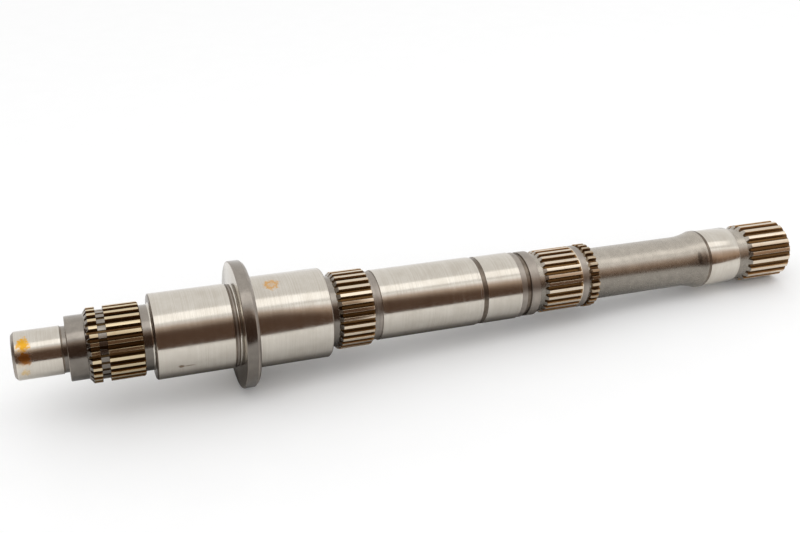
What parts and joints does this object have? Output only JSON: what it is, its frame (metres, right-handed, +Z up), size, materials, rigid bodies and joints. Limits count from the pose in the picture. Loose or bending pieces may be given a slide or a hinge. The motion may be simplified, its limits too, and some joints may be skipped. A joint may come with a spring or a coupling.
{
  "type": "transmission main shaft",
  "caption": "Main shaft of a manual gearbox: stepped steel shaft with ground gear journals, a thrust flange, hub splines, ring grooves and a splined output tail.",
  "frame": {"origin": "centre of the bounding box on the ground that the shaft rests on", "axes": "+X along the shaft towards the splined tail, +Z up; the axis drops 2.8 degrees towards the tail, because the shaft rests on its flange and its tail"},
  "size_m": [0.4808, 0.0714, 0.0715],
  "materials": {
    "ground_steel": "ground journals with fine lines around the shaft, duller turned grooves and necks, light oil film and a few rust stains"
  },
  "bodies": {
    "root": {"main_shaft": "ground_steel"}
  },
  "joints": []
}
